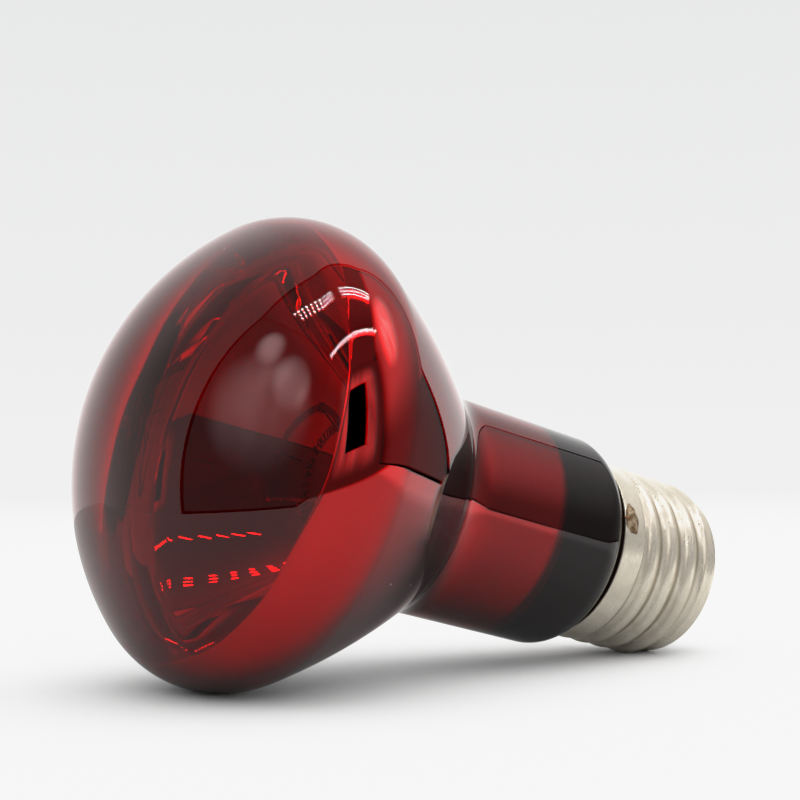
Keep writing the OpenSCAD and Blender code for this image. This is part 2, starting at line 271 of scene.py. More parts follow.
class Nodes:
    """Short calls that add nodes to a node tree."""

    def __init__(self, tree):
        self.tree = tree

    def set(self, node, socket, value):
        """Sets a socket, named as in the editor with _ for a space, or joins it to another node."""
        found = node.inputs[socket if isinstance(socket, int) else socket.replace("_", " ")]
        if isinstance(value, bpy.types.NodeSocket):
            self.tree.links.new(value, found)
        elif isinstance(value, tuple) and len(value) == 3 and found.type == "RGBA":
            found.default_value = (*value, 1)
        else:
            found.default_value = value

    def node(self, kind, values=None, **settings):
        """Adds a node; settings are its options, and values maps its sockets to values."""
        made = self.tree.nodes.new(kind)
        for key, value in settings.items():
            setattr(made, key, value)
        for socket, value in (values or {}).items():
            self.set(made, socket, value)
        return made

    def math(self, operation, a, b=0.0, c=0.0, clamp=False):
        """The result of a math node; a, b and c are numbers or other nodes' outputs."""
        values = {0: a, 1: b, 2: c}
        return self.node("ShaderNodeMath", values, operation=operation, use_clamp=clamp).outputs[0]

    def between(self, value, low, high, start=0.0, end=1.0):
        """value's stretch from low to high turned into start to end, smoothly and clamped."""
        values = {"Value": value, "From_Min": low, "From_Max": high, "To_Min": start, "To_Max": end}
        return self.node("ShaderNodeMapRange", values, interpolation_type="SMOOTHSTEP").outputs[0]

    def blend(self, share, a, b):
        """Colour a where share is 0, b where it is 1."""
        mix = self.node("ShaderNodeMix", data_type="RGBA")
        self.set(mix, 0, share)
        self.set(mix, 6, a)
        self.set(mix, 7, b)
        return mix.outputs[2]

    def layer(self, share, under, over):
        """Shader under where share is 0, over where it is 1."""
        return self.node("ShaderNodeMixShader", {0: share, 1: under, 2: over}).outputs[0]


class Look(Nodes):
    """A material with one Principled shader. Its coordinates are the lamp's own frame, or the CAD frame."""

    def __init__(self, name, on_lamp=True, **values):
        self.material = bpy.data.materials.new(name)
        self.material.use_nodes = True
        super().__init__(self.material.node_tree)
        self.shader = self.tree.nodes["Principled BSDF"]
        self.output = self.tree.nodes["Material Output"]
        self.use(**values)
        self.place = self.node("ShaderNodeTexCoord").outputs["Object"]
        if on_lamp:
            turn = {"Vector": self.place, "Location": LAMP.translation, "Rotation": LAMP.to_euler()}
            self.place = self.node("ShaderNodeMapping", turn, vector_type="TEXTURE").outputs[0]

    def axes(self):
        """The coordinates apart, as X, Y and Z."""
        return self.node("ShaderNodeSeparateXYZ", {0: self.place}).outputs

    def scaled(self, x, y, z):
        """Coordinates in metres, multiplied."""
        return self.node("ShaderNodeMapping", {"Vector": self.place, "Scale": (x, y, z)}).outputs[0]

    def noise(self, scale, detail=3.0, rough=0.55, vector=None, distortion=0.0):
        """Soft noise, 0 to 1, with about scale features in a metre."""
        values = {"Vector": vector or self.place, "Scale": scale, "Detail": detail, "Roughness": rough,
                  "Distortion": distortion}
        return self.node("ShaderNodeTexNoise", values).outputs["Fac"]

    def stored(self, name):
        """A number kept on the mesh."""
        return self.node("ShaderNodeAttribute", attribute_name=name).outputs["Fac"]

    def bump(self, height, distance, after=None):
        """A normal for relief of a height from 0 to 1, distance metres deep, on top of another one."""
        values = {"Height": height, "Distance": distance}
        if after:
            values["Normal"] = after
        return self.node("ShaderNodeBump", values).outputs[0]

    def use(self, **values):
        """Sets sockets of the Principled shader, or joins worked-out values to them."""
        for socket, value in values.items():
            self.set(self.shader, socket, value)

    def surface(self, shader):
        """Makes this shader the material's surface, in place of the Principled shader alone."""
        self.tree.links.new(shader, self.output.inputs["Surface"])

    def absorb(self, colour, density):
        """Fills the piece with a clear substance that tints light over its path."""
        filling = self.node("ShaderNodeVolumeAbsorption", {"Color": colour, "Density": density})
        self.tree.links.new(filling.outputs[0], self.output.inputs["Volume"])


def red_glass():
    """Red glass with faint waves and specks of dust, deeper in the face and the neck and where it slants."""
    look = Look("red_glass", Transmission_Weight=1.0, IOR=1.5, Specular_IOR_Level=0.35, Roughness=0.0)
    height = look.axes()["Z"]
    deep = look.math("ADD", look.between(height, 0.010, 0.016, 1.0, 0.0),
                     look.between(height, 0.044, 0.052, 0.0, 0.65))
    cloud = look.between(look.noise(40, 2.0), 0.3, 0.7, -0.06, 0.06)
    red = look.blend(look.math("ADD", deep, cloud, clamp=True), (0.88, 0.025, 0.035), (0.44, 0.009, 0.013))
    slant = look.node("ShaderNodeLayerWeight", {"Blend": 0.5}).outputs["Facing"]
    look.use(Base_Color=look.blend(look.between(slant, 0.35, 0.83), red, (0.050, 0.006, 0.006)))
    look.absorb((0.93, 0.02, 0.03), 900.0)
    ripple = look.bump(look.noise(45, 1.0), 0.00006)
    dust = look.node("ShaderNodeTexVoronoi", {"Vector": look.place, "Scale": 260.0}, feature="F1")
    spot = look.between(dust.outputs["Distance"], 0.028, 0.045, 1.0, 0.0)
    rare = look.between(dust.outputs["Color"], 0.78, 0.8)
    speck = look.math("MULTIPLY", spot, rare)
    grain = look.node("ShaderNodeBsdfDiffuse", {"Color": (0.62, 0.55, 0.55)}).outputs[0]
    look.surface(look.layer(look.math("MULTIPLY", speck, 0.55), look.shader.outputs[0], grain))
    look.use(Normal=ripple)
    return look.material


def dark_lining():
    """Dull dark deposit on the inside of the neck, behind the mirror's rear edge."""
    look = Look("dark_lining", Roughness=0.5, Specular_IOR_Level=0.2)
    mottle = look.noise(400, 4.0)
    look.use(Base_Color=look.blend(mottle, (0.010, 0.007, 0.007), (0.030, 0.022, 0.020)),
             Normal=look.bump(mottle, 0.00002))
    return look.material


def mirror_film():
    """Evaporated aluminium, bright with thin cloudy patches, thinning to a dark slanted edge in the neck."""
    look = Look("mirror_film", Metallic=1.0)
    at = look.axes()
    slanted = look.math("MULTIPLY_ADD", at["X"], FILM_SLANT, at["Z"])
    thin = look.between(slanted, FILM_THINS_Z * MM, FILM_GONE_Z * MM)
    cloud = look.noise(60, 4.0)
    bright = look.blend(look.between(cloud, 0.45, 0.75), (0.93, 0.92, 0.92), (0.84, 0.82, 0.81))
    look.use(Base_Color=look.blend(thin, bright, (0.030, 0.022, 0.022)),
             Roughness=look.math("MULTIPLY", thin, 0.45),
             Normal=look.bump(look.noise(55, 1.0), 0.00005))
    return look.material


def clear_glass():
    """Fire-polished lead glass of the stem."""
    look = Look("clear_glass", Base_Color=(0.93, 0.97, 0.96), Transmission_Weight=1.0, IOR=1.54)
    look.use(Roughness=look.between(look.noise(500, 3.0), 0.5, 0.8, 0.0, 0.06),
             Normal=look.bump(look.noise(300, 2.0), 0.0001))
    look.absorb((0.80, 0.90, 0.86), 60.0)
    return look.material


def bare_metal(name, light, dark, rough, scale=1500.0, bump=0.000004):
    """Plain drawn wire or stamped metal with a fine uneven finish."""
    look = Look(name, Metallic=1.0)
    grain = look.noise(scale, 4.0)
    look.use(Base_Color=look.blend(look.between(grain, 0.3, 0.75), light, dark),
             Roughness=look.between(grain, 0.25, 0.8, rough * 0.8, rough * 1.3),
             Normal=look.bump(grain, bump))
    return look.material


def nickel_cap():
    """Nickel-plated brass: rolling marks around it, painted shade in the thread's roots, stains and fine
    scratches.
    """
    look = Look("nickel_brass", Metallic=0.76)
    groove_shade = look.stored("groove_shade")
    rolled = look.noise(420, 5.0, 0.65, look.scaled(1, 1, 9))
    stain = look.noise(130, 5.0, 0.6, distortion=0.6)
    fine = look.noise(5200, 3.0, 0.6, look.scaled(0.12, 0.12, 1.4))
    worn = look.blend(look.between(rolled, 0.35, 0.7), (0.98, 0.91, 0.77), (0.91, 0.83, 0.68))
    # Real stains and painted shade along the thread's roots, both darkening the colour towards brown and
    # roughening it.
    stain_and_groove_shade = look.math("ADD", groove_shade, look.between(stain, 0.47, 0.70, 0.0, 0.26), clamp=True)
    brown = look.blend(look.noise(900, 3.0), (0.26, 0.215, 0.15), (0.46, 0.40, 0.30))
    look.use(Base_Color=look.blend(look.math("MULTIPLY", stain_and_groove_shade, 0.85), worn, brown),
             Roughness=look.math("ADD", look.between(rolled, 0.3, 0.75, 0.25, 0.40),
                                 look.math("MULTIPLY", stain_and_groove_shade, 0.14)),
             Normal=look.bump(fine, 0.0000035, after=look.bump(rolled, 0.000026)))
    return look.material


def side_solder():
    """Flux-stained brown solder: dull, lumpy, with brighter tin on its humps."""
    look = Look("side_solder", Metallic=0.55)
    lump = look.noise(1100, 5.0, 0.6)
    look.use(Base_Color=look.blend(look.between(lump, 0.35, 0.7), (0.16, 0.085, 0.035), (0.56, 0.45, 0.30)),
             Roughness=look.between(lump, 0.3, 0.7, 0.6, 0.3),
             Normal=look.bump(lump, 0.00008))
    return look.material


def tin_solder():
    """Bright tin-lead solder with a dull skin."""
    look = Look("solder", Metallic=1.0)
    dull = look.noise(1300, 5.0, 0.6)
    look.use(Base_Color=look.blend(look.between(dull, 0.3, 0.7), (0.72, 0.72, 0.73), (0.45, 0.45, 0.46)),
             Roughness=look.between(dull, 0.3, 0.7, 0.22, 0.45),
             Normal=look.bump(dull, 0.00003))
    return look.material


def cement():
    """Baked capping cement: dark red-brown, grainy and matt."""
    look = Look("cement", Specular_IOR_Level=0.25)
    sand = look.noise(3600, 6.0, 0.7)
    share = look.between(sand, 0.35, 0.7)
    look.use(Base_Color=look.blend(share, (0.020, 0.004, 0.004), (0.075, 0.022, 0.016)),
             Roughness=look.between(sand, 0.2, 0.8, 0.75, 0.95),
             Normal=look.bump(sand, 0.0001))
    return look.material


def black_glass():
    """Black glass moulded hot into the shell: glossy, with flow marks and a dull edge."""
    look = Look("black_glass", IOR=1.52)
    flow = look.noise(160, 4.0, 0.6, distortion=1.6)
    share = look.between(flow, 0.35, 0.7)
    look.use(Base_Color=look.blend(share, (0.006, 0.005, 0.007), (0.022, 0.016, 0.022)),
             Roughness=look.between(look.noise(700, 4.0), 0.45, 0.75, 0.05, 0.22),
             Normal=look.bump(flow, 0.00012))
    return look.material


# ---------------------------------------------------------------- glass and mirror

BULB_SIDES = 224


def wobble(z, angle):
    """How far the blown surface lies inside its true shape, in mm."""
    swell = np.sin(3 * angle + z / 8) + np.sin(2 * angle - z / 11 + 1.2) + np.sin(5 * angle + z / 6 + 0.4)
    return 0.006 * (3 + swell) * np.minimum(1, z / 12)


def blown(outline):
    """Rings of the bulb's surface from its outline, with the faint wobble."""
    angles = around(BULB_SIDES)
    return [on_ring(r - min(1, r) * wobble(z, angles), z, angles) for r, z in outline]


def make_bulb():
    """The envelope: outer and inner surface, closed at the neck's end; dark lining behind the mirror."""
    outer, inner = bulb_side(0), bulb_side(GLASS)
    rings = blown(outer) + blown(inner[::-1])
    bulb = skin("glass_bulb", rings, closed=False)
    bulb.data.materials.append(red_glass())
    bulb.data.materials.append(dark_lining())
    for face in bulb.data.polygons:
        middle = TO_LAMP @ face.center
        facing = TO_LAMP.to_3x3() @ face.normal
        if middle.z > FILM_REAR_Z * MM and facing.xy.dot(middle.xy) < 0:
            face.material_index = 1
    return bulb


def along_outline(outline, at_z, end_z, count):
    """Radii and heights of points evenly spaced along an outline between two heights."""
    steps = np.linalg.norm(np.diff(outline, axis=0), axis=1)
    travelled = np.concatenate([[0], np.cumsum(steps)])
    start = np.interp(at_z, outline[:, 1], travelled)
    end = np.interp(end_z, outline[:, 1], travelled)
    at = np.linspace(start, end, count)
    return np.interp(at, travelled, outline[:, 0]), np.interp(at, travelled, outline[:, 1])


def make_mirror():
    """The film on the inside of the reflector. Its front edge is slightly slanted and uneven."""
    angles = around(BULB_SIDES)
    front = FILM_FRONT_Z - np.cos(angles) + 0.12 * np.sin(7 * angles) + 0.08 * np.sin(13 * angles + 1)
    rows = 130
    sides = []
    for off in (GLASS + FILM_GAP, GLASS + FILM_GAP + FILM):
        outline = bulb_side(off)
        sheet = [along_outline(outline, f, FILM_REAR_Z, rows) for f in front]
        r = np.array([s[0] for s in sheet]).T
        z = np.array([s[1] for s in sheet]).T
        sides.append(on_ring(r - wobble(z, angles), z, angles))
    film = skin("reflector_film", np.concatenate([sides[0], sides[1][::-1]]))
    film.data.materials.append(mirror_film())
    return film


# ---------------------------------------------------------------- stem and filament

# The filament's arc, its coil, and half of the gap in the arc in degrees
FILAMENT_Z = 30
FILAMENT_R = 8.5
COIL_R = 0.45
COIL_WIRE = 0.05
COIL_PITCH = 0.30
GAP_HALF = 60

# Stem: inner leads, press, rod and its button
LEAD_Y = 3.5
PRESS_Z = 54
PRESS_END = 63
ROD_END = 43
BUTTON_R = 1.9


def on_filament(angle):
    """Point in the middle of the filament's coil, at an angle in degrees."""
    return on_ring(FILAMENT_R, FILAMENT_Z, math.radians(angle))


def make_filament():
    """The wound tungsten wire along its open arc."""
    wind = COIL_R - COIL_WIRE
    arc_len = math.radians(360 - 2 * GAP_HALF) * FILAMENT_R
    turns = int(arc_len / COIL_PITCH)
    steps = turns * 14
    t = np.arange(steps + 1) / steps
    around_axis = np.radians(GAP_HALF + t * (360 - 2 * GAP_HALF))
    wound = t * turns * 2 * math.pi
    sag = 0.25 * np.abs(np.sin(t * 4 * math.pi)) ** 1.5
    r = FILAMENT_R + wind * np.cos(wound) - sag * 0.4
    path = on_ring(r, FILAMENT_Z + wind * np.sin(wound), around_axis)
    path[:, 0] += sag * 0.5
    return sweep("filament_coil", path, COIL_WIRE, sides=6)


def make_lead(name, side):
    """Inner lead: straight out of the press, bent to the filament, and on a little past it."""
    end = on_filament(side * GAP_HALF)
    bend = np.array([0, side * LEAD_Y, PRESS_Z - 4])
    way = (end - bend) / np.linalg.norm(end - bend)
    past = end + way * 0.7
    path = rounded_path([[0, side * LEAD_Y, PRESS_Z + 0.3], bend, end, past], 2.2)
    return sweep(name, path, 0.33, sides=14)


def make_hook(name, angle):
    """Molybdenum support: straight out of the button, and once round the filament."""
    centre = np.array([0, 0, ROD_END])
    aim = on_filament(angle)
    way = (aim - centre) / np.linalg.norm(aim - centre)
    a = math.radians(angle)
    out = np.array([math.cos(a), math.sin(a), 0])
    up = np.array([0, 0, 1.0])
    eye = COIL_R + 0.15
    start = math.atan2(-way @ up, -way @ out)
    loop = [aim + eye * (out * math.cos(start + t) + up * math.sin(start + t))
            for t in np.linspace(0, math.radians(400), 40)]
    shift = np.array([-math.sin(a), math.cos(a), 0]) * 0.3
    loop = [p + shift * i / len(loop) for i, p in enumerate(loop)]
    return sweep(name, [centre + way * 1.0, centre + way * 8] + loop, 0.13, sides=10)


def make_rod():
    """Glass rod, swelling smoothly into the button at its end."""
    outline = [(0, ROD_END - BUTTON_R)] + corner(0, ROD_END, BUTTON_R, range(-82, 38, 8))
    r0, z0 = outline[-1]
    for i in range(1, 11):
        t = i / 10
        outline.append((r0 + (1 - r0) * (1 - (1 - t) ** 3), z0 + 2.6 * t))
    outline += [(1, PRESS_Z + 0.6), (0, PRESS_Z + 0.6)]
    return lathe("stem_rod", outline, 40)


def make_press():
    """The pinch: a flat blade of glass that widens smoothly into the stem's tube."""
    angles = around(72)
    rings = [on_ring(0, PRESS_Z, angles)]
    for i in range(41):
        t = i / 40
        z = PRESS_Z + (PRESS_END - 0.02 - PRESS_Z) * t
        spread = eased(max(0.0, t - 0.42) / 0.58)
        edge = min(1, math.sqrt(max(0.0, 1 - (1 - min(1, t / 0.07)) ** 2)) + 0.02)
        thick = (1.6 + 3.9 * spread) * edge
        wide = (5.2 + 0.3 * spread) - 0.6 * (1 - edge)
        square = 0.55 + 0.45 * spread
        x = thick * np.sign(np.cos(angles)) * np.abs(np.cos(angles)) ** square
        y = wide * np.sign(np.sin(angles)) * np.abs(np.sin(angles)) ** square
        rings.append(np.stack([x, y, np.full(72, z)], axis=-1))
    rings.append(on_ring(0, PRESS_END - 0.02, angles))
    return skin("stem_pinch", rings, closed=False)


# ---------------------------------------------------------------- screw cap

# Shell of the cap, its thread, collar and curled end; heights from its rim
SKIRT_R = 13.05
SKIRT_LEN = 3.6
CREST_R = 13.1
ROOT_R = 12.05
PITCH = 25.4 / 7
SHELL_LEN = 19.5
LAST_CREST = 14.3
RUN_IN = 0.8
RUN_OUT_Z = SHELL_LEN - 3.9
THREAD_END = SHELL_LEN - 2.3
COLLAR_R = 12.1
CURL_R = 1.4
CURL_Z = SHELL_LEN - CURL_R
SHEET = 0.3
CAP_SIDES = 240

# Insulator, contact plate and solder, from the rim too
INSULATOR_Z = SHELL_LEN - 2.6
EYELET_Z = CAP_LEN - 1.5
EYELET_T = 0.5
EYELET_R = 4.8
EYELET_HOLE = 2.2
BUTTON_FLAT = 1.6
BUTTON_Z = EYELET_Z + EYELET_T
SOLDER_ANGLE = math.radians(250)


def off_crest(z, angle):
    """Distance along the axis from the nearest crest of the thread, z mm from the rim."""
    turns = (z - LAST_CREST) / PITCH - angle / (2 * math.pi)
    return np.abs(turns - np.round(turns)) * PITCH


def thread_radius(z, angle):
    """Radius of the rolled thread, z mm from the rim."""
    deep = CREST_R - ROOT_R
    bend = ((PITCH / 2) ** 2 + deep ** 2) / (4 * deep)
    off = off_crest(z, angle)
    crest = CREST_R - bend + np.sqrt(np.maximum(0, bend ** 2 - off ** 2))
    root = ROOT_R + bend - np.sqrt(np.maximum(0, bend ** 2 - (PITCH / 2 - off) ** 2))
    return np.where(off < PITCH / 4, crest, root)


def shell_radius(z, angle):
    """Outer radius of the shell from its rim to its collar: skirt, thread, and the draw to the collar."""
    grown = eased(np.clip((z - SKIRT_LEN) / RUN_IN, 0, 1))
    drawn = np.clip((z - RUN_OUT_Z) / (THREAD_END - RUN_OUT_Z), 0, 1)
    limit = CREST_R - (CREST_R - COLLAR_R) * (1 - np.cos(math.pi * drawn)) / 2
    return np.minimum(SKIRT_R + grown * (thread_radius(z, angle) - SKIRT_R), limit)


def make_shell():
    """The threaded shell: one sheet, rolled rim edge, skirt, thread, collar and curled end."""
    angles = around(CAP_SIDES)
    edge = SHEET / 2
    heights = np.concatenate([np.linspace(edge, SKIRT_LEN, 14), np.linspace(SKIRT_LEN, CURL_Z, 150)[1:]])
    curl = np.radians(np.linspace(0, 90, 12)[1:])

    def dented(z):
        """Small inward unevenness of the thin sheet."""
        return 0.012 * (1 + np.sin(2 * angles + 0.6)) + 0.006 * (1 + np.sin(5 * angles + z / 2))

    def wall(depth):
        straight = [on_ring(shell_radius(z, angles) - depth - dented(z), z, angles) for z in heights]
        round_end = [on_ring(COLLAR_R - CURL_R + (CURL_R - depth) * math.cos(c) - dented(CURL_Z),
                             CURL_Z + (CURL_R - depth) * math.sin(c), angles) for c in curl]
        return straight + round_end

    rim = [on_ring(SKIRT_R - edge - edge * math.cos(t) - dented(0), edge - edge * math.sin(t), angles)
           for t in np.linspace(0, math.pi, 7)[1:-1]]
    rings = wall(0) + wall(SHEET)[::-1] + rim
    shell = skin("threaded_shell", np.array(rings) + [0, 0, RIM_Z])
    # Painted shade along the roots of the thread: a mask kept on the mesh, which the cap's material darkens.
    x, y, z = in_lamp_frame(shell).T
    off_root = PITCH / 2 - off_crest(z - RIM_Z, np.arctan2(y, x))
    in_thread = np.clip((z - RIM_Z - SKIRT_LEN) / 1.5, 0, 1) * np.clip((RIM_Z + RUN_OUT_Z - z) / 0.5, 0, 1)
    store(shell, "groove_shade", np.clip(1.5 - off_root / 0.28, 0, 1) * in_thread)
    return shell


def make_cement():
    """The ring of cement between glass and skirt, rough where it shows at the rim."""
    far = RIM_Z + 3.4
    outline = bulb_side(-0.02)
    angles = around(160)

    def grain(z):
        return np.array([noise.noise(Vector((math.cos(a) * 9, math.sin(a) * 9, z * 2))) for a in angles])

    def neck_radius(z):
        return np.interp(z, outline[-20:, 1], outline[-20:, 0])

    top = RIM_Z + 0.3 + 0.14 * grain(1)
    inner_front = neck_radius(top)
    wide = SKIRT_R - SHEET - 0.03
    rows = [on_ring(inner_front + share * (wide - inner_front),
                    top + 0.07 * grain(5 * share) - 0.12 * math.sin(math.pi * share), angles)
            for share in np.linspace(0, 1, 7)]
    rows.append(on_ring(wide, far, angles))
    rows.append(on_ring(SEAT_R + 0.02, far, angles))
    for z in np.linspace(far - 0.4, RIM_Z + 0.8, 6):
        rows.append(on_ring(neck_radius(z), z, angles))
    return skin("cement_ring", rows, sharp=50)


def make_side_solder():
    """The flattened, ragged drop of solder on the skirt, over the end of the side lead."""
    around_drop = around(64)
    ragged = 1 + 0.10 * np.sin(2 * around_drop + 0.5) + 0.07 * np.sin(3 * around_drop) \
        + 0.05 * np.sin(7 * around_drop + 2)
    half_high, half_wide = 1.12, 2.3

    def ring(share, proud):
        z = RIM_Z + 1.2 + np.clip(share * ragged * half_high * np.cos(around_drop), -1.12, 1.2)
        angle = SOLDER_ANGLE + share * ragged * half_wide * np.sin(around_drop) / SKIRT_R
        lumps = np.array([noise.noise(Vector((a * 14, b * 1.3, 3))) for a, b in zip(angle, z)])
        return on_ring(SKIRT_R + proud * (1 + 0.35 * lumps), z, angle)

    shares = np.linspace(0, 1, 16)
    front = [ring(s, 0.42 * (1 - s ** 2.4) ** 0.75) for s in shares]
    back = [ring(s, -0.03) for s in shares[::-1]]
    return skin("side_solder_drop", front + back, closed=False)


def make_insulator():
    """Black glass end of the cap, with soft edges and faint rings from its mould."""
    wide = ROOT_R - SHEET - 0.05
    bore = 2.62
    outline = [(bore, INSULATOR_Z), (wide, INSULATOR_Z), (wide, CURL_Z)]
    outline += corner(10.7, CURL_Z, 1.05, range(22, 90, 8))
    outline += [(10.62, SHELL_LEN - 0.05), (10.5, SHELL_LEN + 0.22), (10.2, SHELL_LEN + 0.45)]
    slope_start, slope_end = np.array([10.0, SHELL_LEN + 0.56]), np.array([6.35, EYELET_Z - 0.38])
    for i in range(17):
        r, z = slope_start + (slope_end - slope_start) * i / 16
        outline.append((r, z + 0.05 * math.sin(i * math.pi / 4)))
    top = EYELET_Z - 0.01
    outline += [(6.1, top - 0.19), (5.9, top - 0.07), (5.6, top), (5.2, top), (bore, top)]
    return lathe("insulator_glass", [(r, z + RIM_Z) for r, z in outline], 128, closed=True, sharp=60)


def make_eyelet():
    """Brass contact plate with a rolled edge, and its tube through the insulator."""
    tube = 2.58
    low, top, edge = EYELET_Z + 0.005, BUTTON_Z, 0.16
    far = INSULATOR_Z - 0.6
    outline = [(EYELET_HOLE + 0.01, far), (tube, far), (tube, low), (EYELET_R - edge, low)]
    outline += corner(EYELET_R - edge, low + edge, edge, range(-75, 1, 15))
    outline += corner(EYELET_R - edge, top - edge, edge, range(0, 91, 15))
    outline += [(3.6, top - 0.03), (2.6, top - 0.005), (EYELET_HOLE + 0.01, top - 0.03)]
    return lathe("contact_plate", [(r, z + RIM_Z) for r, z in outline], 96, closed=True, sharp=50)


def make_centre_solder():
    """Low solder button with a worn flat top and an uneven foot on the plate."""
    angles = around(72)
    foot_r, foot_z, plate_z = EYELET_HOLE - 0.02, EYELET_Z - 1, BUTTON_Z + 0.012
    rings = [on_ring(r, RIM_Z + z, angles) for r, z in ((0, foot_z), (foot_r, foot_z), (foot_r, plate_z))]
    for i in range(13):
        t = i / 12
        ragged = 1 + (0.06 * np.sin(3 * angles + 0.4) + 0.04 * np.sin(5 * angles)) * (1 - t)
        r = (BUTTON_FLAT + (3.1 - BUTTON_FLAT) * (1 - t) ** 1.6) * ragged
        r = np.minimum(r, 3.2)
        z = plate_z + (CAP_LEN - plate_z) * math.sin(t * math.pi / 2)
        rings.append(on_ring(r, RIM_Z + z, angles))
    rings += [on_ring(r, RIM_Z + CAP_LEN, angles) for r in (BUTTON_FLAT * 0.5, 0)]
    return skin("solder_button", rings, closed=False, sharp=60)


def make_side_lead():
    """Copper lead from the press, over the rim of the skirt and under the solder."""
    out = on_ring(1, 0, SOLDER_ANGLE)
    up = np.array([0, 0, 1.0])
    wire = 0.14
    over = SKIRT_R + 1.15 * wire
    points = [[0, -LEAD_Y, PRESS_END], [0, -LEAD_Y, 86], 11.52 * out + 86 * up,
              11.52 * out + (RIM_Z + 1.8) * up, 12.45 * out + (RIM_Z - 1.2 * wire) * up,
              over * out + (RIM_Z - 1.2 * wire) * up, over * out + (RIM_Z + 1.2) * up]
    return sweep("side_lead_wire", rounded_path(points, 0.5), wire, sides=10)


# ---------------------------------------------------------------- the object

def build_object():
    """Makes the pieces and gives the CAD nodes that stay their materials."""
    leads = bare_metal("lead_wire", (0.66, 0.64, 0.61), (0.45, 0.43, 0.40), 0.25)
    moly = bare_metal("molybdenum", (0.52, 0.52, 0.54), (0.34, 0.34, 0.36), 0.3)
    copper = bare_metal("copper_wire", (0.72, 0.34, 0.20), (0.48, 0.20, 0.12), 0.3)
    tungsten = bare_metal("tungsten", (0.44, 0.43, 0.42), (0.26, 0.25, 0.25), 0.38)
    brass = bare_metal("brass", (0.83, 0.64, 0.30), (0.50, 0.36, 0.16), 0.26, 700.0, 0.000012)
    glass = clear_glass()
    hook_angles = {"left": GAP_HALF + 45, "middle": 180, "right": 315 - GAP_HALF}

    pieces = [
        (make_bulb(), None, "glass_envelope", "red_glass"),
        (make_mirror(), None, "mirror_coating", "mirror_film"),
        (make_press(), glass, "stem_press", "clear_glass"),
        (make_rod(), glass, "support_rod", "clear_glass"),
        (make_filament(), tungsten, "filament", "tungsten"),
        (make_lead("lead_left", -1), leads, "inner_lead_left", "lead_wire"),
        (make_lead("lead_right", 1), leads, "inner_lead_right", "lead_wire"),
        (make_side_lead(), copper, "side_lead", "copper_wire"),
        (make_side_solder(), side_solder(), "side_solder", "side_solder"),
        (make_cement(), cement(), "capping_cement", "cement"),
        (make_shell(), nickel_cap(), "cap_shell", "nickel_brass"),
        (make_insulator(), black_glass(), "cap_insulator", "black_glass"),
        (make_eyelet(), brass, "contact_eyelet", "brass"),
        (make_centre_solder(), tin_solder(), "centre_solder", "solder"),
    ]
    for side, angle in hook_angles.items():
        pieces.append((make_hook("hook_" + side, angle), moly, "filament_hook_" + side, "molybdenum"))
    for piece, material, node, slot in pieces:
        if material:
            piece.data.materials.append(material)
        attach(piece, "root")
        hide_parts(node)

    kept = {"stem_flare": glass, "exhaust_tube": glass, "centre_lead_fuse": glass,
            "seal_wire_left": copper, "seal_wire_right": copper, "centre_lead": copper}
    for node, material in kept.items():
        mesh = frame["nodes"][node].data
        mesh.materials.clear()
        mesh.materials.append(material)


# ---------------------------------------------------------------- tent, floor, light and camera

# The tent's walls, in metres in the CAD frame. Its back half is white cloth, its front half dim foil.
TENT_LEFT, FOIL_RIGHT, TENT_RIGHT = -0.205, 0.155, 0.300
TENT_FRONT, TENT_SEAM, TENT_BACK = -0.205, 0.024, 0.320
TENT_TOP = 0.350
SEAM_HALF = 0.0025
FOIL_GLOW = 0.22
ROOM_GLOW = 0.11
FOIL_REACH = -0.360


def only_reflected(name, vertices, faces, material):
    """Cloth or lamps of the stage, in metres, seen in reflections and through glass and nowhere else."""
    mesh = bpy.data.meshes.new(name)
    mesh.from_pydata(vertices, [], faces)
    mesh.materials.append(material)
    thing = add_object(name, mesh)
    for ray in ("camera", "diffuse", "shadow", "volume_scatter"):
        setattr(thing, "visible_" + ray, False)


def panel(name, corners, material):
    """A flat four-cornered sheet of the tent, corners in metres."""
    only_reflected(name, corners, [(0, 1, 2, 3)], material)


def tent_half(name, y0, y1, right, left_side, ceiling, right_side, right_front=None):
    """Left wall, ceiling and right wall of the tent between two depths; the last may start further on."""
    left, top = TENT_LEFT, TENT_TOP
    start = y0 if right_front is None else right_front
    panel(name + "_left", [(left, y0, 0), (left, y1, 0), (left, y1, top), (left, y0, top)], left_side)
    panel(name + "_top", [(left, y0, top), (left, y1, top), (right, y1, top), (right, y0, top)], ceiling)
    panel(name + "_right", [(right, start, 0), (right, y1, 0), (right, y1, top), (right, start, top)],
          right_side)


def emitting(name, work):
    """A material that only gives off light; work(look) returns its colour and its strength."""
    look = Look(name, on_lamp=False)
    colour, strength = work(look)
    look.surface(look.node("ShaderNodeEmission", {"Color": colour, "Strength": strength}).outputs[0])
    look.tree.nodes.remove(look.shader)
    return look.material


def glow(name, colour, strength):
    """A plain emitting material."""
    return emitting(name, lambda look: (colour, strength))


def cloth_light(look):
    """White cloth: dimmer at the top left, bright low down and to the right."""
    at = look.axes()
    right = look.between(at["X"], TENT_LEFT, 0.10, 0.0, 0.45)
    deep = look.between(at["Y"], 0.10, 0.28, 0.0, 0.22)
    low = look.between(at["Z"], 0.02, 0.20, 0.22, 0.0)
    return (1.0, 0.99, 0.985), look.math("ADD", look.math("ADD", right, deep), look.math("ADD", low, 0.42))


def shine(look, axes, middle, reach, strength):
    """A soft oval glow on a wall: axes are the two directions along it, middle and reach in metres."""
    at = look.axes()
    squares = [look.math("POWER", look.math("DIVIDE", look.math("SUBTRACT", at[axis], centre), size), 2.0)
               for axis, centre, size in zip(axes, middle, reach)]
    return look.between(look.math("ADD", *squares), 0.0, 1.0, strength, 0.0)


def edged(look, height, light):
    """Light of a wall with a dark line along the floor and along the ceiling."""
    line = look.math("MULTIPLY", look.between(height, 0.002, 0.004),
                     look.between(height, TENT_TOP - 0.005, TENT_TOP - 0.003, 1.0, 0.0))
    return look.math("MULTIPLY", line, light)


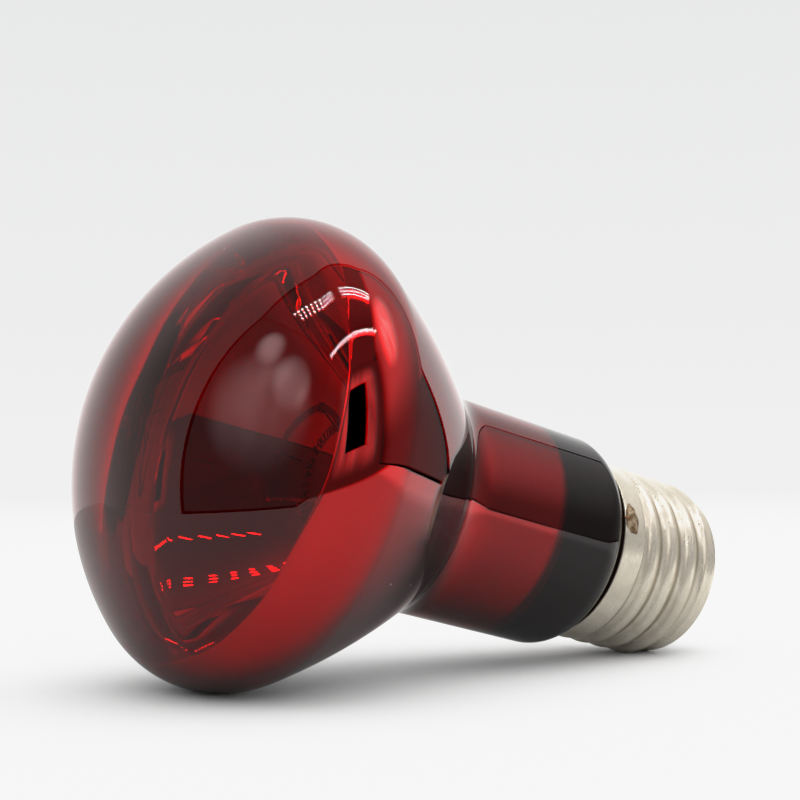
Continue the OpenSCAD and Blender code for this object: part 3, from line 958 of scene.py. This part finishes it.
def foil_light(look):
    """Crumpled foil of the left wall: dim, with the soft shine of the lamps in its upper part."""
    at = look.axes()
    broad = shine(look, "YZ", (-0.075, 0.150), (0.095, 0.115), 0.95)
    bright = look.math("ADD", shine(look, "YZ", (-0.045, 0.262), (0.034, 0.060), 1.8),
                       shine(look, "YZ", (-0.112, 0.205), (0.045, 0.075), 1.8))
    crease = look.between(look.noise(1, 1.5, 0.5, look.scaled(14, 14, 7)), 0.34, 0.66, 0.70, 1.6)
    shone = look.math("MULTIPLY", look.math("ADD", broad, bright), crease)
    base = look.between(at["Y"], -0.190, -0.110, ROOM_GLOW, 0.20)
    return (1.0, 0.96, 0.96), edged(look, at["Z"], look.math("ADD", shone, base))


def right_foil_light(look):
    """Foil of the right wall: streaks of bright shine high up, dim lower down and at the open front."""
    at = look.axes()
    crease = look.between(look.noise(1, 3.0, 0.5, look.scaled(40, 40, 12)), 0.3, 0.7, 0.45, 1.5)
    bright = look.math("MULTIPLY", shine(look, "YZ", (-0.115, 0.235), (0.085, 0.095), 1.9), crease)
    lit = look.between(at["Z"], 0.04, 0.15, 0.20, 0.68)
    open_end = look.between(at["Y"], -0.330, -0.180)
    light = look.math("MULTIPLY", look.math("ADD", lit, bright), open_end)
    return (1.0, 0.97, 0.97), edged(look, at["Z"], light)


def ceiling_foil_light(look):
    """Foil of the front half's ceiling: dim, and dark at the open front."""
    at = look.axes()
    return (1.0, 0.97, 0.96), look.between(at["Y"], TENT_FRONT, -0.050, ROOM_GLOW, FOIL_GLOW)


def doorway_light(look):
    """Curtain at the open front, dim and soft-edged, with the dark slot that the camera looks through."""
    at = look.axes()

    def span(value, low, high, soft):
        return look.math("MULTIPLY", look.between(value, low - soft, low + soft),
                         look.between(value, high - soft, high + soft, 1.0, 0.0))

    curtain = look.math("MULTIPLY", span(at["X"], -0.105, 0.050, 0.020), span(at["Z"], 0.030, 0.185, 0.020))
    slot = look.math("MULTIPLY", span(at["X"], -0.070, 0.008, 0.001), span(at["Z"], 0.052, 0.163, 0.001))
    fold = look.between(look.noise(1, 3.0, 0.5, look.scaled(70, 1, 14)), 0.3, 0.7, 0.45, 1.3)
    light = look.math("MULTIPLY_ADD", look.math("MULTIPLY", curtain, fold), 0.55, ROOM_GLOW)
    return (1.0, 0.97, 0.97), look.math("MULTIPLY", light, look.math("SUBTRACT", 1.0, slot))


def lamp_rows():
    """Rows of small lamps: three staggered rows under the ceiling, with a gap, and one on the front edge."""
    lit = glow("lamp_dot", (1, 0.93, 0.95), 70.0)
    spacing, gap_start, gap_end, slope = 0.0095, -0.047, -0.014, -0.12
    dots = []
    for row, y in enumerate((-0.054, -0.065, -0.076)):
        for k in range(36):
            x = -0.166 + (k + row % 2 / 2) * spacing
            if x < FOIL_RIGHT and not gap_start < x < gap_end:
                dots.append((x, y + slope * x, TENT_TOP - 0.002, 0.0016, 0.0022))
    dots += [(-0.185 + k * 0.0125, -0.200, 0.335, 0.0015, 0.0085) for k in range(28)]
    vertices, faces = [], []
    for x, y, z, across, deep in dots:
        first = len(vertices)
        for i in range(8):
            a = math.pi * (i + 0.5) / 4
            vertices.append((x + across * math.cos(a), y + deep * math.sin(a), z))
        faces.append(tuple(range(first, first + 8)))
    only_reflected("lamp_rows", vertices, faces, lit)


def build_tent():
    """White cloth behind, dim foil in front, a dark seam between them, and the lamps."""
    white = emitting("tent_white", cloth_light)
    seam = glow("tent_seam", (1, 1, 1), 0.0)
    seam_front, seam_back = TENT_SEAM - SEAM_HALF, TENT_SEAM + SEAM_HALF
    tent_half("cloth", seam_back, TENT_BACK, TENT_RIGHT, white, white, white)
    tent_half("seam", seam_front, seam_back, FOIL_RIGHT, seam, seam, seam)
    tent_half("foil", TENT_FRONT, seam_front, FOIL_RIGHT, emitting("foil_left", foil_light),
              emitting("foil_top", ceiling_foil_light), emitting("foil_right", right_foil_light), FOIL_REACH)

    def upright(name, y, left, right, top, material):
        panel(name, [(left, y, 0), (right, y, 0), (right, y, top), (left, y, top)], material)

    upright("cloth_back", TENT_BACK, TENT_LEFT, TENT_RIGHT, TENT_TOP, white)
    upright("doorway", TENT_FRONT, -0.135, 0.090, 0.215, emitting("doorway", doorway_light))
    lamp_rows()


# Tones of the far background and of the dark room in reflections; the soft light and its bright side
HORIZON = (0.915, 0.915, 0.915)
ROOM = (0.13, 0.127, 0.125)
SOFT_LIGHT = 1.57
BRIGHT_SIDE = (0.30, -0.25, 0)


def floor_material():
    """Pale matt card that fades into the background's tone far away. In reflections its colour is darkened by
    painted shade, and less under the cap, as painted light for the light falling on the floor there; past
    the tent's open front it has the tone of the dark room."""
    look = Look("floor_card", on_lamp=False, Roughness=0.9, Specular_IOR_Level=0.1)
    path = look.node("ShaderNodeLightPath").outputs
    fibre = look.noise(900, 4.0)
    card = look.blend(fibre, (0.85, 0.85, 0.85), (0.89, 0.89, 0.885))
    at = look.axes()
    # Painted shade for reflections: the card at half its brightness, and at 85 % under the cap (painted light
    # there).
    reflected_card_shade = look.blend(look.between(at["X"], 0.060, 0.100, 0.50, 0.15), card, (0, 0, 0))
    look.use(Base_Color=look.blend(path["Is Camera Ray"], reflected_card_shade, card),
             Normal=look.bump(look.noise(500, 3.0), 0.00003))
    away = look.node("ShaderNodeVectorMath", {0: look.place}, operation="LENGTH").outputs["Value"]
    far = look.between(away, 0.15, 0.75)
    background = look.node("ShaderNodeEmission", {"Color": HORIZON}).outputs[0]
    room = look.node("ShaderNodeEmission", {"Color": ROOM}).outputs[0]
    outside = look.between(at["Y"], TENT_FRONT, TENT_FRONT + 0.03, 1.0, 0.0)
    seen = look.math("MULTIPLY", outside, look.math("SUBTRACT", 1.0, path["Is Camera Ray"]))
    look.surface(look.layer(seen, look.layer(far, look.shader.outputs[0], background), room))
    return look.material


def build_floor():
    """A wide round sheet, just under the lowest point of the bulb."""
    card = floor_material()
    angles = around(96)
    rings = [on_ring(r, -0.02, angles) for r in (0, 200, 600, 1500, 30000)]
    rows, sides = len(rings), len(angles)
    floor = add_piece("floor", np.concatenate(rings), grid_faces(rows, sides, False),
                      place=Matrix.Identity(4))
    floor.data.flip_normals()
    floor.data.materials.append(card)


def build_world():
    """Pale backdrop for the camera, soft light for matt surfaces, mostly from the sides, and a dark room
    in reflections."""
    world = bpy.context.scene.world = bpy.data.worlds.new("studio")
    world.use_nodes = True
    sky = Nodes(world.node_tree)
    sky.tree.nodes.clear()
    direction = sky.node("ShaderNodeTexCoord").outputs["Generated"]
    height = sky.node("ShaderNodeSeparateXYZ", {0: direction}).outputs["Z"]

    def by_height(stops):
        """Colour between stops, each a height and a colour; the height goes from the horizon, 0, to 1."""
        ramp = sky.node("ShaderNodeValToRGB", {0: height})
        elements = ramp.color_ramp.elements
        for position, _ in stops[1:-1]:
            elements.new(position)
        for element, (position, colour) in zip(elements, stops):
            element.position = position
            element.color = (*colour, 1)
        return ramp.outputs[0]

    def background(colour, strength=1.0):
        return sky.node("ShaderNodeBackground", {"Color": colour, "Strength": strength}).outputs[0]

    backdrop = by_height([(0, HORIZON), (0.07, (0.865, 0.867, 0.87)), (0.22, (0.815, 0.82, 0.825))])
    levels = [(0, 0.45), (0.15, 0.68), (0.30, 0.85), (0.55, 1.0), (1, 1.0)]
    towards = {0: direction, 1: BRIGHT_SIDE}
    side = sky.node("ShaderNodeVectorMath", towards, operation="DOT_PRODUCT").outputs["Value"]
    soft = background(by_height([(z, (level, level, level)) for z, level in levels]),
                      sky.math("MULTIPLY_ADD", side, SOFT_LIGHT, SOFT_LIGHT))
    path = sky.node("ShaderNodeLightPath").outputs
    seen = sky.layer(path["Is Diffuse Ray"], background(ROOM), soft)
    seen = sky.layer(path["Is Camera Ray"], seen, background(backdrop))
    sky.node("ShaderNodeOutputWorld", {"Surface": seen})


def build_lights():
    """A soft square light overhead, for matt surfaces; it doesn't show in reflections."""
    light = bpy.data.lights.new("overhead", "AREA")
    light.shape = "SQUARE"
    light.size = 1.6
    light.energy = 0.3
    lamp = add_object("overhead", light)
    lamp.location = (0.05, 0.05, 1.2)
    way = Vector((0.02, 0, 0)) - lamp.location
    lamp.rotation_euler = way.to_track_quat("-Z", "Y").to_euler()
    lamp.visible_glossy = False
    lamp.visible_transmission = False


def build_camera():
    data = bpy.data.cameras.new("camera")
    data.sensor_width = 36
    data.lens = 87.5
    data.clip_start = 0.01
    camera = add_object("camera", data)
    yaw, pitch, roll = math.radians(34.46), math.radians(0.73), math.radians(-0.62)
    way = Vector((math.sin(yaw) * math.cos(pitch), math.cos(yaw) * math.cos(pitch), math.sin(pitch)))
    camera.location = (-0.15494, -0.2200, 0.03409)
    camera.rotation_euler = (way.to_track_quat("-Z", "Y") @ Quaternion((0, 0, 1), roll)).to_euler()
    bpy.context.scene.camera = camera


def light_paths():
    """Enough bounces for light that crosses the glass often; plain colours, bright ones eased to white."""
    scene = bpy.context.scene
    view = scene.view_settings
    view.view_transform = "Standard"
    view.use_curve_mapping = True
    view.curve_mapping.clip_max_x = 3
    shoulder = view.curve_mapping.curves[3].points
    shoulder[1].location = (3, 0.98)
    for point in ((0.4, 0.4), (0.8, 0.8), (1.0, 0.90), (1.3, 0.93)):
        shoulder.new(*point)
    view.curve_mapping.update()
    bounces = {"max": 24, "transmission": 20, "glossy": 14, "diffuse": 3}
    for kind, most in bounces.items():
        setattr(scene.cycles, kind + "_bounces", most)
    scene.cycles.caustics_reflective = False
    scene.cycles.caustics_refractive = False


build_camera()
build_object()
build_tent()
build_floor()
build_world()
build_lights()
light_paths()
